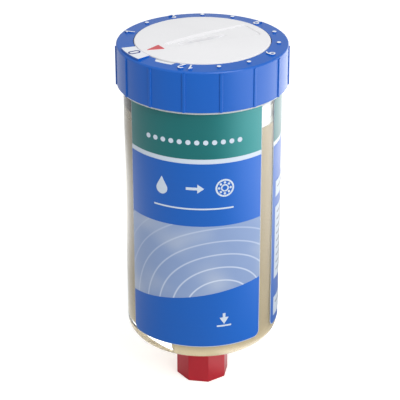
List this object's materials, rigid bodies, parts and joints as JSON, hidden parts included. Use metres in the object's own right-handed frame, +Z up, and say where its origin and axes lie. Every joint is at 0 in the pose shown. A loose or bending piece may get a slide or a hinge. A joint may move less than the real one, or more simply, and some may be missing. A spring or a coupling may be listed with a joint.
{
  "type": "automatic lubricator",
  "caption": "Gas-driven grease lubricator: clear round container with piston, ribbed top ring with months scale, coin-set dial and a plugged taper-thread outlet.",
  "frame": {"origin": "centre of the closure plug's flat lower face, on the container's axis", "axes": "+Z up along the container's axis towards the dial; the front label faces -Y"},
  "size_m": [0.0544, 0.0545, 0.12],
  "materials": {
    "clear_plastic": "clear moulded copolyester, glossy",
    "blue_plastic": "moulded, satin gloss",
    "white_plastic": "moulded, satin",
    "natural_plastic": "moulded, natural white",
    "red_plastic": "moulded, satin",
    "black_plastic": "moulded component",
    "label_film": "self-adhesive film",
    "green_print": "printed, semi-gloss",
    "blue_print": "printed, semi-gloss",
    "pale_print": "printed, semi-gloss",
    "white_print": "printed white",
    "grey_print": "printed grey",
    "grease": "lithium-type grease, beige, soft",
    "seal_rubber": "nitrile",
    "pale_rubber": "white silicone",
    "gasket_rubber": "flat seal",
    "cell_steel": "nickel-plated can",
    "spring_steel": "stamped strip",
    "contact_bronze": "stamped phosphor bronze",
    "board": "solder-masked laminate"
  },
  "bodies": {
    "housing": {"back_label": "label_film", "back_label_blue": "blue_print", "back_label_green": "green_print", "back_label_lines": "grey_print", "back_label_panels": "white_print", "battery_1": "cell_steel", "battery_2": "cell_steel", "battery_strip": "spring_steel", "carrier_seal": "pale_rubber", "cell_carrier": "natural_plastic", "circuit_board": "board", "contact_pads": "contact_bronze", "contact_spring_1": "contact_bronze", "contact_spring_2": "contact_bronze", "contact_spring_3": "contact_bronze", "contact_spring_4": "contact_bronze", "container": "clear_plastic", "detent_spring": "spring_steel", "front_label": "label_film", "front_label_base": "blue_print", "front_label_blue": "blue_print", "front_label_green": "green_print", "front_label_marks": "white_print", "front_label_picture": "pale_print", "gas_cell_1": "cell_steel", "gas_cell_2": "cell_steel", "gas_cell_seal_1": "seal_rubber", "gas_cell_seal_2": "seal_rubber", "grease_charge": "grease", "notch_field": "white_print", "resistors": "black_plastic", "scale_marks": "white_print", "timer_chip": "black_plastic", "top_ring": "blue_plastic", "zero_field": "white_print", "zero_mark": "blue_print"},
    "dial": {"timing_dial": "white_plastic", "dial_pointer": "red_plastic", "dial_seal": "seal_rubber", "wiper": "contact_bronze"},
    "piston": {"piston": "white_plastic", "piston_seal_lower": "pale_rubber", "piston_seal_upper": "pale_rubber"},
    "gasket": {"plug_gasket": "gasket_rubber"},
    "plug": {"closure_plug": "red_plastic"}
  },
  "joints": [
    {"name": "dial_turn", "type": "hinge", "parent": "housing", "child": "dial", "pos_m": [0, 0, 0.12], "axis": [0, 0, 1], "range_deg": [-312, 0]},
    {"name": "piston_slide", "type": "slide", "parent": "housing", "child": "piston", "axis": [0, 0, -1], "range_m": [0, 0.0715], "deforming": ["grease_charge"]},
    {"name": "plug_turn", "type": "hinge", "parent": "housing", "child": "gasket", "pos_m": [0, 0, 0.01685], "axis": [0, 0, -1], "range_deg": [0, 3420]},
    {"name": "plug_travel", "type": "slide", "parent": "gasket", "child": "plug", "axis": [0, 0, -1], "range_m": [0, 0.0127]}
  ],
  "couplings": [
    {"joint": "plug_travel", "follows": "plug_turn", "m_per_rad": 0.00021279}
  ]
}
